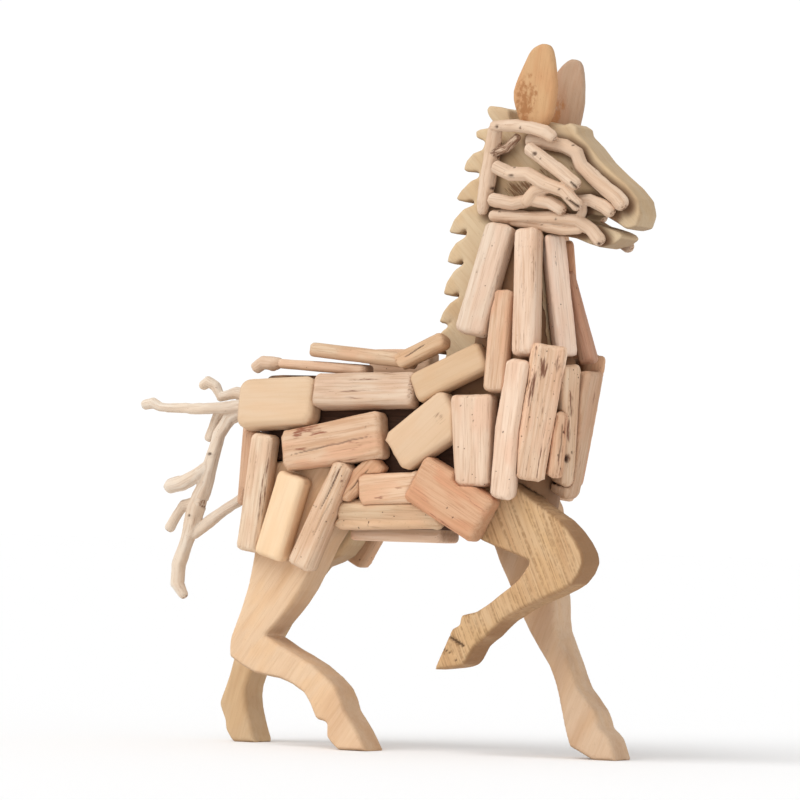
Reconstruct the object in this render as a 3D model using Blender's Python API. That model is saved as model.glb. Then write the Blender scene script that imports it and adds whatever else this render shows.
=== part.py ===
"""Striding horse of driftwood: sawn leg boards and a head-and-mane board held in a dark carcass,
which is clad all over with weathered blocks, slats and twigs.

Metres, +Z up, +X toward the nose, +Y the horse's left. The origin is on the floor, under the
middle of the bounding box. The form is drawn in units of 1/646 of the height, which are
millimetres on the real piece, and every mesh is scaled by UNIT when it is built.
"""

import math
from dataclasses import dataclass

import bmesh
import bpy
import numpy as np

# Driving sizes, in metres
HEIGHT = 0.646
BOARD = 0.038
BODY_WIDTH = 0.100
EAR = 0.010
ARRIS = 0.0025
GAP = 0.0003

# The same sizes in the drawing's units
DRAWN_HEIGHT = 646.0
UNIT = HEIGHT / DRAWN_HEIGHT
BOARD_D = BOARD / UNIT
HALF = BODY_WIDTH / 2 / UNIT
EAR_D = EAR / UNIT
ARRIS_D = ARRIS / UNIT
HEAD_ARRIS_D = ARRIS_D / 2
GAP_D = GAP / UNIT
HEAD_FACE = BOARD_D / 2
LEG_MIDDLE = HALF - BOARD_D / 2

# Heights of the carcass's edges, and the leans of the bands between them, in degrees
KEEL_Z = 203
BELLY_Z = 232
FLANK_Z = 262
BACK_Z = 306
TOP_Z = 343
FLANK_LEAN = 5
BACK_LEAN = 15
BELLY_LEAN = -25
RUMP_X = -132
RUMP_CORNER = 22
BARREL_END_X = 126
NECK_Z = 365
POLL_Z = 476
NECK_LEAN = 11.8
NECK_SET_IN = 3
SEAT_RUNOUT = 3
SCRIBE_DEPTH = 6
SCRIBE_RISE = 3
BLOCK_EASE = 0.16
EAR_SPLAY = 0.08
TWIG_TIP = 0.35
TWIG_TIP_WIDTH = 0.6
TWIG_SET_BACK = 0.1


def run(lean, rise):
    """How far a band that leans in by so many degrees moves inward over a rise."""
    return math.tan(math.radians(lean)) * rise


BACK_Y = HALF - run(FLANK_LEAN, BACK_Z - FLANK_Z)
TOP_Y = BACK_Y - run(BACK_LEAN, TOP_Z - BACK_Z)
KEEL_Y = HALF - run(-BELLY_LEAN, BELLY_Z - KEEL_Z)
NECK_Y = HALF - NECK_SET_IN
POLL_Y = NECK_Y - run(NECK_LEAN, POLL_Z - NECK_Z)
REAR_Y = HALF / 2
CREST_Y = POLL_Y * 0.84


@dataclass(frozen=True)
class Finish:
    """Colour and surface of one kind of wood."""

    name: str
    colour: tuple
    roughness: float


PALE = Finish("pale_wood", (0.72, 0.52, 0.33), 0.7)
WARM = Finish("warm_wood", (0.66, 0.42, 0.25), 0.75)
PINK = Finish("pinkish_wood", (0.68, 0.47, 0.34), 0.75)
SAWN = Finish("sawn_board", (0.60, 0.42, 0.24), 0.75)
TWIG = Finish("peeled_twig", (0.70, 0.52, 0.38), 0.7)
BARK = Finish("ear_wood", (0.58, 0.34, 0.18), 0.8)
DARK = Finish("dark_carcass", (0.035, 0.022, 0.015), 0.9)


@dataclass(frozen=True)
class Facet:
    """A flat face that blocks lie on: a point of it, the way it faces and its own two axes."""

    point: tuple
    yaw: float
    lean: float

    def axes(self):
        yaw, lean = math.radians(self.yaw), math.radians(self.lean)
        out = np.array(
            (math.sin(yaw) * math.cos(lean), -math.cos(yaw) * math.cos(lean), math.sin(lean))
        )
        along = np.array((math.cos(yaw), math.sin(yaw), 0.0))
        return along, np.cross(out, along), out

    def place(self, points, height):
        """Drawn points on the facet, at a height over it, as points in space."""
        along, up, out = self.axes()
        return [np.array(self.point) + u * along + v * up + height * out for u, v in points]


SIDE = Facet((0, -HALF, 0), 0, 0)
FLANK = Facet((0, -HALF, FLANK_Z), 0, FLANK_LEAN)
BACK = Facet((0, -BACK_Y, BACK_Z), 0, BACK_LEAN)
WITHERS = Facet((0, 2 - HALF, 300), 0, 8)
BELLY = Facet((0, -HALF, BELLY_Z), 0, BELLY_LEAN)
KEEL = Facet((0, 0, KEEL_Z), 0, -90)
NECK = Facet((0, -NECK_Y, NECK_Z), 0, NECK_LEAN)
NECK_EDGE = Facet((153.7, -HEAD_FACE, 420), 62, 6)
NECK_FRONT = Facet((165.8, 0, 400), 90, 17)
CHEST_EDGE = Facet((143, -HALF, 300), 45, -7.3)
CHEST_CORNER = Facet((164, 14.5 - HALF, 300), 58, -6.5)
CHEST_SHOULDER = Facet((160, 11.5 - HALF, 300), 71, -8.5)
BREAST = Facet((172, 0, 300), 90, -10)
RUMP_EDGE = Facet((RUMP_X + RUMP_CORNER, -HALF, 300), -32, 3)
RUMP = Facet((RUMP_X + 2, RUMP_CORNER - HALF, 300), -62, 3)
BACK_TOP = Facet((0, 0, TOP_Z), 90, 90)
BACK_RIDGE = Facet((-60, 0, TOP_Z + 2.5), 90, 87)
BACK_SADDLE = Facet((-20, 0, 354.5), 90, 84.5)


@dataclass(frozen=True)
class Block:
    """One weathered block: where its middle lies on a facet, its size, turn and shape."""

    name: str
    facet: Facet
    middle: tuple
    length: float
    width: float
    thickness: float
    turn: float
    taper: float = 1.0
    bow: float = 0.0
    round: float = 5.0
    under: float = 1.5
    finish: Finish = PALE
    left: bool = False
    keyed: bool = False
    seated: bool = False


def eased(corners, cut):
    """An outline with each of its corners cut off at the same reach along both of its sides."""
    points = [np.array(corner, float) for corner in corners]
    found = []
    for before, corner, after in zip(points[-1:] + points[:-1], points, points[1:] + points[:1]):
        for side in (before - corner, after - corner):
            length = np.linalg.norm(side)
            found.append(corner + side / length * min(cut, length * 0.45))
    return found


def offset(outline, distance):
    """A counterclockwise outline moved outward by a distance, or inward by a negative one."""
    points = [np.array(point, float) for point in outline]
    found = []
    for before, point, after in zip(points[-1:] + points[:-1], points, points[1:] + points[:1]):
        one = (point - before) / np.linalg.norm(point - before)
        two = (after - point) / np.linalg.norm(after - point)
        miter = np.array((one[1] + two[1], -one[0] - two[0]))
        miter /= max(np.dot(miter, miter) / 2, 0.3)
        found.append(point + miter * distance)
    return found


def smooth(points, steps=3):
    """A smooth open curve through the points."""
    points = [np.array(point, float) for point in points]
    ends = [2 * points[0] - points[1]] + points + [2 * points[-1] - points[-2]]
    found = []
    for a, b, c, d in zip(ends, ends[1:], ends[2:], ends[3:]):
        for t in np.arange(steps) / steps:
            found.append(
                b
                + 0.5 * t * (c - a)
                + t * t * (a - 2.5 * b + 2 * c - 0.5 * d)
                + t**3 * (1.5 * (b - c) + 0.5 * (d - a))
            )
    return found + [points[-1]]


def outline_of(*stretches, steps=2):
    """A closed outline whose stretches are smooth curves that meet in corners."""
    found = []
    for stretch in stretches:
        curve = smooth(stretch, steps) if len(stretch) > 2 else [np.array(p, float) for p in stretch]
        if found and np.linalg.norm(found[-1] - curve[0]) < 0.01:
            curve = curve[1:]
        found += curve
    if np.linalg.norm(found[-1] - found[0]) < 0.01:
        found.pop()
    return found


def lofted(rings):
    """One closed mesh through rings of as many points each, with its two ends capped."""
    mesh = bmesh.new()
    rows = [[mesh.verts.new(point) for point in ring] for ring in rings]
    for low, high in zip(rows, rows[1:]):
        for i in range(len(low)):
            j = (i + 1) % len(low)
            mesh.faces.new((low[i], low[j], high[j], high[i]))
    mesh.faces.new(rows[0][::-1])
    mesh.faces.new(rows[-1])
    mesh.normal_update()
    bmesh.ops.triangulate(mesh, faces=mesh.faces)
    bmesh.ops.recalc_face_normals(mesh, faces=mesh.faces)
    return mesh


def material_of(finish):
    material = bpy.data.materials.get(finish.name)
    if material is None:
        material = bpy.data.materials.new(finish.name)
        material.use_nodes = True
        shader = material.node_tree.nodes["Principled BSDF"]
        shader.inputs["Base Color"].default_value = (*finish.colour, 1)
        shader.inputs["Roughness"].default_value = finish.roughness
        shader.inputs["Metallic"].default_value = 0
        material.diffuse_color = (*finish.colour, 1)
    return material


def built(name, mesh, finish, flip=False):
    """The named object of a drawn mesh, scaled to its real size."""
    size = (UNIT, -UNIT, UNIT) if flip else (UNIT, UNIT, UNIT)
    bmesh.ops.scale(mesh, vec=size, verts=mesh.verts)
    bmesh.ops.recalc_face_normals(mesh, faces=mesh.faces)
    data = bpy.data.meshes.new(name)
    mesh.to_mesh(data)
    mesh.free()
    data.materials.append(material_of(finish))
    obj = bpy.data.objects.new(name, data)
    bpy.context.scene.collection.objects.link(obj)
    return obj


def boolean(obj, operation, others):
    """Works the other objects into this one's mesh."""
    for other in others:
        modifier = obj.modifiers.new(operation.title(), "BOOLEAN")
        modifier.operation = operation
        modifier.solver = "MANIFOLD"
        modifier.object = other
    graph = bpy.context.evaluated_depsgraph_get()
    data = bpy.data.meshes.new_from_object(obj.evaluated_get(graph))
    obj.modifiers.clear()
    obj.data = data


def removed(objects):
    for obj in objects:
        bpy.data.objects.remove(obj)


def block_outline(block):
    """The block's outline on its facet: a tapered bar with eased corners, bowed to one side."""
    half, tip, butt = block.length / 2, block.width * block.taper / 2, block.width / 2
    found = eased([(-half, -butt), (half, -tip), (half, tip), (-half, butt)], block.round)
    if block.bow:
        middle = (butt + tip) / 2
        found.insert(2, np.array((0, block.bow - middle)))
        found.insert(7, np.array((0, block.bow + middle)))
    turn = math.radians(block.turn)
    cos, sin = math.cos(turn), math.sin(turn)
    u, v = block.middle
    return [(u + x * cos - y * sin, v + x * sin + y * cos) for x, y in found]


def block_piece(block):
    outline = block_outline(block)
    edge = min(block.width, block.thickness) * BLOCK_EASE
    rings = [
        block.facet.place(offset(outline, -block.under), GAP_D),
        block.facet.place(outline, block.thickness - edge),
        block.facet.place(offset(outline, -edge), block.thickness),
    ]
    if not block.keyed:
        rings.insert(1, block.facet.place(outline, GAP_D + block.under * 1.5))
    return built(block.name, lofted(rings), block.finish, block.left)


def block_seat(block, depth=0, rise=GAP_D):
    """The room a block takes up, with a gap all round, to cut from whatever it is let into."""
    grown = offset(block_outline(block), GAP_D)
    rings = [block.facet.place(grown, height) for height in (-depth, block.thickness + rise)]
    return built(block.name + "_seat", lofted(rings), DARK, block.left)


def box_of(obj):
    corners = np.array([vertex.co for vertex in obj.data.vertices])
    return corners.min(axis=0), corners.max(axis=0)


def meet(one, other):
    """Whether the boxes round two objects share any room."""
    (low, high), (other_low, other_high) = box_of(one), box_of(other)
    return bool((low < other_high).all() and (other_low < high).all())


def cladding(planks):
    """Every block, each scribed to the boards beside it and to the blocks that were laid before it."""
    laid = []
    seats = [plank.room() for plank in planks]
    for block in BLOCKS:
        piece = block_piece(block)
        boolean(piece, "DIFFERENCE", [seat for seat in seats if meet(piece, seat)])
        seats.append(block_seat(block, SCRIBE_DEPTH, SCRIBE_RISE))
        laid.append(piece)
    removed(seats)
    return laid


@dataclass(frozen=True)
class Plank:
    """A board sawn to an outline in the X-Z plane, with its middle at a given Y."""

    name: str
    outline: list
    middle: float
    thickness: float
    ease: float = ARRIS_D
    finish: Finish = SAWN

    def piece(self):
        """The plank, with the edges of both its faces eased."""
        half = self.thickness / 2
        rings = []
        inner = offset(self.outline, -self.ease)
        for level, ring in (
            (-half, inner), (self.ease - half, self.outline), (half - self.ease, self.outline), (half, inner),
        ):
            rings.append([(x, self.middle + level, z) for x, z in ring])
        return built(self.name, lofted(rings), self.finish)

    def room(self, near=GAP_D, far=GAP_D):
        """The room the plank takes up, with a gap round its rim and as much as given past each face."""
        low = self.middle - self.thickness / 2 - near
        high = self.middle + self.thickness / 2 + far
        rings = [[(x, y, z) for x, z in offset(self.outline, GAP_D)] for y in (low, high)]
        return built(self.name + "_room", lofted(rings), DARK)

    def seat(self):
        """The cutter for the plank's slot in the carcass, which is open where the plank lies flush."""
        near = SEAT_RUNOUT if self.middle < 0 else GAP_D
        far = SEAT_RUNOUT if self.middle > 0 else GAP_D
        return self.room(near, far)


def counterclockwise(outline):
    area = sum(a[0] * b[1] - b[0] * a[1] for a, b in zip(outline, outline[1:] + outline[:1]))
    return outline if area > 0 else outline[::-1]


def right_hind_leg():
    outline = outline_of(
        [(-122, 240), (-122, 174), (-134, 125), (-144, 98), (-144, 81)],
        [(-144, 81), (-118, 67), (-92, 63), (-66, 51), (-52, 27)],
        [(-52, 27), (-41, 24), (-41, 12), (-29, 0)],
        [(-29, 0), (1, 0)],
        [(1, 0), (-10, 19), (-23, 36)],
        [(-23, 36), (-32, 56), (-57, 76), (-91, 93), (-107, 102)],
        [(-107, 102), (-89, 121), (-71, 145), (-50, 187), (-33, 215), (-28, 250)],
        [(-28, 250), (-50, 262), (-105, 262), (-122, 240)],
    )
    return Plank("right_hind_leg", counterclockwise(outline), -LEG_MIDDLE, BOARD_D)


def left_hind_leg():
    outline = outline_of(
        [(-118, 240), (-148, 180), (-160, 142), (-170, 95), (-178, 62), (-188, 35)],
        [(-188, 35), (-181, 19), (-180, 11), (-172, 0)],
        [(-172, 0), (-148, 0)],
        [(-148, 0), (-155, 20), (-160, 43), (-156, 61), (-139, 96), (-115, 134), (-90, 166)],
        [(-90, 166), (-66, 176), (-50, 200), (-35, 230)],
        [(-35, 230), (-45, 255), (-100, 258), (-118, 240)],
    )
    return Plank("left_hind_leg", counterclockwise(outline), LEG_MIDDLE, BOARD_D)


def right_front_leg():
    outline = outline_of(
        [(136, 252), (163, 231), (188, 216), (207, 196), (214, 178), (203, 159), (184, 149)],
        [(184, 149), (158, 137), (135, 124), (119, 109)],
        [(119, 109), (107, 99), (100, 86), (90, 80), (67, 77)],
        [(67, 77), (84, 115)],
        [(84, 115), (92, 119), (93, 127), (108, 131), (131, 147), (150, 162), (160, 178)],
        [(160, 178), (141, 185), (112, 195), (96, 206)],
        [(96, 206), (90, 250)],
        [(90, 250), (104, 262), (124, 262), (136, 252)],
    )
    return Plank("right_front_leg", counterclockwise(outline), -LEG_MIDDLE, BOARD_D)


def left_front_leg():
    outline = outline_of(
        [(84, 232), (90, 198), (112, 152), (134, 110), (153, 83), (163, 57), (169, 32), (176, 11)],
        [(176, 11), (199, 0)],
        [(199, 0), (222, 0)],
        [(222, 0), (215, 19), (205, 28)],
        [(205, 28), (199, 44), (182, 64), (172, 88), (160, 114), (158, 135), (155, 165), (150, 215)],
        [(150, 215), (140, 240), (100, 246), (84, 232)],
    )
    return Plank("left_front_leg", counterclockwise(outline), LEG_MIDDLE, BOARD_D)


# The mane's teeth from the poll down: each one's root, back, tip and notch
POLL_TEETH = (
    ((113, 577), (112, 587), (103, 590), (91, 591), (88.5, 588), (91, 582), (96, 576)),
    ((101, 571), (93, 571.5), (83, 570), (78, 568), (79, 562), (88, 558.5)),
)
NECK_TEETH = (
    ((86, 551), (76, 548), (69.5, 541), (67, 533), (70, 531), (83, 531)),
    ((83, 526), (74.5, 522.5), (65, 514), (59.5, 505.5), (70, 503), (78, 505.5)),
    ((79.5, 501.5), (68, 497), (58.5, 487), (53.5, 475.5), (64, 473.5), (73, 480)),
    ((71, 472), (61, 466), (55, 457), (52.5, 448), (62, 446), (71, 453)),
    ((69.5, 446.5), (60, 441), (53, 430), (50, 419), (60, 417), (67, 422.5)),
    ((66, 416.5), (57, 411), (50, 402.5), (46.5, 393), (55, 392), (62, 397)),
    ((60, 392.5), (49.5, 385), (42.5, 376), (38, 366), (46, 364), (56, 368)),
)


def mane():
    """The comb of leaf-shaped teeth down the back of the neck, from the poll to the withers."""
    return [point for tooth in POLL_TEETH + NECK_TEETH for point in tooth]


def head_and_mane_board():
    face = outline_of(
        [(113, 577), (148, 577), (166, 573)],
        [(166, 573), (173, 575), (180, 571), (181, 565)],
        [(181, 565), (192, 555), (204, 541), (218, 529), (232, 518), (243, 506), (246, 493), (242, 481)],
        [(242, 481), (232, 478.5), (223, 484), (211, 490.5), (194, 492)],
        [(194, 492), (188, 488.5), (194, 485)],
        [(194, 485), (209, 481.5), (221, 478), (226.5, 475.5)],
        [(226.5, 475.5), (229.5, 471.5), (221, 465.5)],
        [(221, 465.5), (207, 462), (195, 465.5), (182, 470.5), (168, 473), (148, 474)],
        [(148, 474), (151, 440), (157, 390), (164, 352)],
        [(164, 352), (150, 336), (70, 336), (50, 350)],
        steps=1,
    )
    outline = face + [np.array(point, float) for point in mane()[::-1]][:-1]
    return Plank("head_and_mane_board", counterclockwise(outline), 0.0, BOARD_D, HEAD_ARRIS_D)


def ear(name, shift, drop, flip):
    """A leaf-shaped slab on the side of the poll, leaning out at its tip."""
    blade = outline_of(
        [(122, 590), (121, 603), (131, 627), (140, 641), (149, 646)],
        [(149, 646), (157, 644), (162, 632), (163.5, 606), (160, 582)],
        [(160, 582), (150, 568), (132, 566), (122, 590)],
    )
    blade = counterclockwise([(x + shift, z - drop) for x, z in blade])
    foot = 566 - drop
    rings = []
    for level, ease in ((0, 2), (2, 0), (EAR_D - 3, 0), (EAR_D, 3)):
        ring = offset(blade, -ease) if ease else blade
        rings.append([(x, -HEAD_FACE - GAP_D - level - (z - foot) * EAR_SPLAY, z) for x, z in ring])
    return built(name, lofted(rings), BARK, flip)


@dataclass(frozen=True)
class Twig:
    """A tapering, bent stick through points (x, y, z, thickness)."""

    points: tuple
    sides: int = 6

    def mesh(self):
        path = [np.array(point, float) for point in self.points]
        rings = []
        count = len(path)
        for i, point in enumerate(path):
            ahead, behind = path[min(i + 1, count - 1)][:3], path[max(i - 1, 0)][:3]
            direction = (ahead - behind) / np.linalg.norm(ahead - behind)
            across = np.cross(direction, (0, 1, 0))
            across /= np.linalg.norm(across)
            other = np.cross(direction, across)
            angles = [2 * math.pi * k / self.sides for k in range(self.sides)]
            ring = [math.cos(a) * across + math.sin(a) * other for a in angles]
            radius = point[3] / 2
            shift = 0.0
            tip = direction * radius * TWIG_TIP
            narrow = radius * TWIG_TIP_WIDTH
            if i == 0:
                rings.append([point[:3] - tip + r * narrow for r in ring])
            if i == count - 1:
                shift = -radius * TWIG_SET_BACK
            rings.append([point[:3] + direction * shift + r * radius for r in ring])
            if i == count - 1:
                rings.append([point[:3] + tip + r * narrow for r in ring])
        return lofted(rings)


def twig_bundle(name, twigs, flip=False):
    """Twigs that grow from or are glued to one another, as one solid."""
    pieces = [
        built(f"{name}_{i}", twig.mesh(), TWIG, flip) for i, twig in enumerate(twigs)
    ]
    first = pieces[0]
    first.name = name
    boolean(first, "UNION", pieces[1:])
    removed(pieces[1:])
    return first


def flat_twig(y, thickness, *points):
    """A twig at one depth and nearly one thickness, through points (x, z)."""
    return Twig(tuple((x, y, z, thickness) for x, z in points))


def right_face_twigs():
    """The twigs glued on the right of the face."""
    poll = -HEAD_FACE - 8.5
    cheek = -HEAD_FACE - 7
    over = -HEAD_FACE - 19
    bundles = {
        "right_poll_twigs": (
            Twig(((106, poll - 12, 571, 9), (127, poll - 12, 571, 10), (145, poll - 11, 569, 11),
                  (158, poll - 11, 565, 11), (166, poll - 10, 560, 10))),
            Twig(((107, poll - 8, 569, 12), (101, poll, 548, 15), (97, poll, 524, 15),
                  (94, poll, 503, 13), (93, poll, 493, 9))),
            Twig(((102, poll, 548, 10), (116, poll - 2, 551, 9), (129, poll - 6, 562, 8))),
        ),
        "right_cheek_twig": (
            flat_twig(cheek, 13, (137, 558), (153, 557), (173, 553), (185, 547), (190, 535),
                      (201, 525), (216, 514), (226, 507), (232, 500)),
        ),
        "right_cheek_fork": (
            flat_twig(over, 12, (142, 551), (155, 543), (173, 530), (191, 517)),
            flat_twig(over, 12, (110, 534), (125, 528), (142, 528), (159, 519), (179, 512), (193, 498)),
            flat_twig(over + 6, 12, (103, 505), (126, 501), (145, 505), (162, 502), (175, 495)),
            flat_twig(over + 3, 11, (140, 502), (148, 512), (162, 516)),
        ),
        "right_jaw_twigs": (
            flat_twig(cheek, 12, (103, 490), (126, 489), (163, 488), (188, 486), (202, 477), (210, 468)),
            flat_twig(cheek, 11, (184, 503), (199, 505), (213, 499), (220, 494)),
            flat_twig(cheek + 1, 9, (188, 486), (192, 495), (190, 502)),
            flat_twig(cheek + 1, 8, (122, 485), (150, 481), (174, 477), (190, 478)),
        ),
    }
    return [twig_bundle(name, twigs) for name, twigs in bundles.items()]


def left_face_twigs():
    """The plainer twigs on the left of the face."""
    near = -HEAD_FACE - 7
    over = -HEAD_FACE - 16
    bundles = {
        "left_poll_twigs": (
            flat_twig(near - 11, 12, (104, 568), (130, 571), (150, 567), (166, 557)),
            flat_twig(near - 2, 13, (105, 569), (99, 540), (95, 512), (93, 494)),
            flat_twig(near, 12, (100, 550), (140, 549), (174, 547), (190, 534), (212, 516), (229, 502)),
        ),
        "left_cheek_twigs": (
            flat_twig(near, 12, (104, 492), (140, 491), (176, 488), (200, 475), (215, 465)),
            flat_twig(over, 12, (112, 532), (142, 529), (170, 516), (192, 500)),
            flat_twig(over + 3, 12, (110, 500), (140, 506), (168, 500), (186, 492)),
            flat_twig(near, 11, (106, 512), (150, 517), (184, 510)),
        ),
    }
    return [twig_bundle(name, twigs, flip=True) for name, twigs in bundles.items()]


def tail():
    """The tail: forked branches that spread back and down from the rump."""
    main = Twig(((-136, 0, 318, 15), (-160, 0, 314, 15), (-177, 0, 303, 14), (-188, -2, 286, 13),
                 (-195, -2, 262, 13), (-202, 0, 240, 14), (-211, 0, 218, 17), (-216, 0, 197, 15),
                 (-222, 0, 180, 13), (-228, 0, 163, 13), (-229, 0, 146, 12), (-221, 0, 135, 8)))
    level = Twig(((-160, -3, 314, 13), (-182, -7, 311, 11), (-210, -8, 310, 9), (-232, -8, 310, 8),
                  (-248, -7, 311, 8), (-257, -7, 315, 10), (-267, -7, 313, 9)))
    upper = Twig(((-158, 4, 322, 12), (-175, 6, 326, 11), (-192, 7, 322, 9), (-198, 7, 332, 9),
                  (-206, 7, 336, 10), (-212, 7, 332, 8)))
    prong = Twig(((-186, -1, 312, 10), (-194, 5, 304, 9), (-198, 5, 292, 9), (-202, 4, 282, 9)))
    loop = Twig(((-146, 8, 240, 12), (-168, 8, 226, 11), (-184, 6, 216, 10), (-199, 3, 204, 10),
                 (-213, 0, 192, 10)))
    stub = Twig(((-199, -2, 256, 11), (-209, -5, 248, 13), (-223, -6, 240, 14), (-238, -6, 236, 13)))
    spur = Twig(((-208, 0, 224, 11), (-227, 5, 220, 10), (-235, 6, 210, 9), (-243, 6, 197, 9)))
    root = Twig(((-138, 6, 262, 13), (-146, 8, 250, 13), (-158, 8, 236, 12)))
    return twig_bundle("tail", (main, level, upper, prong, stub, spur, loop, root))


def rump_twig():
    """The knobbly crooked twig over the top of the rump."""
    return twig_bundle(
        "rump_twig",
        (
            Twig(((-140, -22, 349, 11), (-130, -26, 354, 11), (-118, -28, 353, 12),
                  (-111, -29, 354, 9))),
        ),
    )


RIGHT_NECK = (
    Block("right_neck_rear", NECK, (106, 66), 104, 29, 18, 80, 0.9, finish=PINK),
    Block("right_neck_middle", NECK, (149, 54), 118, 22, 20, 96, finish=WARM),
    Block("right_neck_low", NECK, (126, 9), 94, 21, 14, 92, finish=PALE),
    Block("right_neck_edge", NECK_EDGE, (10, -2), 112, 23, 13, 95, under=2.5, keyed=True, seated=True),
    Block("right_neck_front", NECK_FRONT, (7, -3), 88, 15, 16, 92, 0.6, under=2, finish=PINK, keyed=True),
)
RIGHT_CHEST = (
    Block("right_chest_rear", SIDE, (107, 285), 83, 33, 20, 92, 1.25, finish=PALE),
    Block("right_chest_middle", SIDE, (145, 296), 127, 23, 20, 84, bow=3, under=4, keyed=True),
    Block("right_chest_edge", CHEST_EDGE, (15, 14), 124, 31, 22, 84, 1.1, 0, 5, 5, PINK, False, True, True),
    Block("right_chest_small", CHEST_CORNER, (8, -15), 61, 15, 18, 90, 0.9, under=3, finish=WARM, keyed=True),
    Block("right_chest_shoulder", CHEST_SHOULDER, (22, 3), 112, 15, 20, 98, 1.5, 0, 5, 3, PINK, False, True, True),
    Block("breast_block", BREAST, (-4, -4), 117, 27, 20, 90, 1.2, under=4, finish=PINK, keyed=True),
)
RIGHT_BARREL = (
    Block("right_shoulder_block", WITHERS, (77, 45), 74, 28, 18, 26, finish=PALE, seated=True),
    Block("right_withers_block", WITHERS, (46, 65), 52, 14, 18, 26, finish=PINK, seated=True),
    Block("right_back_block", BACK, (-8, 20), 102, 31, 22, 2, finish=WARM),
    Block("right_rump_block", BACK, (-96, 6.5), 77, 46, 22, 4, 0.98, round=7, finish=PALE),
    Block("right_flank_block", FLANK, (-35, 17), 102, 36, 22, 10, 1.2, finish=PINK),
    Block("right_rib_block", FLANK, (58, 29), 72, 40, 20, 36, 1.15, round=5, finish=PALE),
    Block("right_belly_front", SIDE, (87, 232), 80, 45, 22, -29, round=5, finish=WARM),
    Block("right_belly_upper", SIDE, (25, 240), 64, 28, 16, 3, round=5, finish=PALE),
    Block("right_belly_lower", BELLY, (21, -10), 106, 20, 16, 2, finish=PALE),
    Block("keel_block", KEEL, (14, 10), 94, 40, 11, 0, finish=PINK),
    Block("right_flank_small", SIDE, (-8, 248), 52, 19, 15, 38, 1.1, round=5, finish=WARM),
)
RIGHT_HIP = (
    Block("right_hip_front", SIDE, (-43, 214), 106, 24, 22, 65.5, 0.8, finish=PINK),
    Block("right_hip_middle", SIDE, (-86, 212), 80, 29, 20, 73, finish=PALE),
    Block("right_hip_rear", SIDE, (-113, 233), 108, 22, 20, 83, finish=PINK),
    Block("right_rump_edge_slat", RUMP_EDGE, (-14, -38), 56, 16, 14, 91, finish=WARM),
    Block("right_rump_slat", RUMP, (-14, -26), 106, 17, 15, 91, finish=PINK),
)
TOP = (
    Block("back_ridge_block", BACK_RIDGE, (-TOP_Y, 0), 92, 20, 9, 90, finish=PALE),
    Block("back_saddle_block", BACK_SADDLE, (-TOP_Y - 2, 0), 104, 24, 13, 90, finish=WARM),
    Block("back_left_block", BACK_TOP, (TOP_Y - 14, 8), 64, 22, 26, 90, finish=PALE),
)
LEFT_SIDE = (
    Block("left_neck_rear", NECK, (105, 64), 102, 30, 18, 81, 0.9, finish=PALE, left=True),
    Block("left_neck_middle", NECK, (141, 54), 118, 24, 19, 95, finish=PINK, left=True),
    Block("left_neck_edge", NECK_EDGE, (-2, -4), 108, 20, 13, 94, 1, 0, 5, 2, WARM, True, True, True),
    Block("left_chest_rear", SIDE, (102, 290), 96, 36, 20, 88, finish=PINK, left=True),
    Block("left_chest_middle", SIDE, (143, 294), 122, 24, 20, 84, 1, 0, 5, 4, PALE, left=True, keyed=True),
    Block("left_chest_edge", CHEST_EDGE, (15, 12), 118, 31, 20, 84, 1, 0, 5, 5, PALE, True, True, True),
    Block("left_chest_shoulder", CHEST_SHOULDER, (18, 2), 108, 22, 18, 96, 1, 0, 5, 5, WARM, True, True),
    Block("left_back_front", BACK, (20, 22), 118, 32, 20, -2, finish=PALE, left=True),
    Block("left_back_rear", BACK, (-92, 14), 84, 44, 21, 4, round=8, finish=WARM, left=True),
    Block("left_flank_rear", FLANK, (-38, 18), 92, 34, 20, 4, finish=PALE, left=True),
    Block("left_flank_front", FLANK, (44, 12), 64, 38, 20, -10, finish=PINK, left=True),
    Block("left_belly_block", BELLY, (40, 4), 92, 28, 17, 1, finish=WARM, left=True),
    Block("left_hip_front", SIDE, (-50, 210), 92, 24, 21, 60, finish=PALE, left=True),
    Block("left_hip_rear", SIDE, (-108, 212), 90, 36, 20, 80, finish=PINK, left=True),
)
BLOCKS = RIGHT_NECK + RIGHT_CHEST + RIGHT_HIP + RIGHT_BARREL + TOP + LEFT_SIDE


def mirrored_ring(half_ring, z):
    """A ring from its right half, which runs from the rear round to the front."""
    right = [(x, -y) for x, y in half_ring]
    left = [(x, y) for x, y in half_ring[::-1]]
    return [(x, y, z) for x, y in right + left]


def barrel():
    section = [
        (KEEL_Y, KEEL_Z), (HALF, BELLY_Z), (HALF, FLANK_Z), (BACK_Y, BACK_Z), (TOP_Y, TOP_Z),
    ]
    rings = []
    for x, narrower in ((RUMP_X, RUMP_CORNER), (RUMP_X + RUMP_CORNER, 0), (BARREL_END_X, 0)):
        right = [(x, narrower - y, z) for y, z in section]
        left = [(x, y - narrower, z) for y, z in section[::-1]]
        rings.append(right + left)
    return lofted(rings)


# Half rings of the chest and neck in plan, by height: from the rear, round the side, to the front
TRUNK = {
    205: ((84, REAR_Y), (112, HALF), (126, HALF), (137, HALF - 11), (149, HALF - 23), (155, 9)),
    350: ((84, REAR_Y), (128, HALF), (152, HALF), (161, HALF - 9), (170, HALF - 18), (179.4, 4)),
    NECK_Z: ((84, REAR_Y), (104, NECK_Y), (161, NECK_Y), (155.5, HALF - 22), (165.3, 9), (175, 4)),
    POLL_Z: ((102, CREST_Y), (110, POLL_Y), (144, POLL_Y), (144, CREST_Y), (143.5, 9), (142.3, 4)),
}


def trunk():
    return lofted([mirrored_ring(half_ring, z) for z, half_ring in TRUNK.items()])


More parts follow.
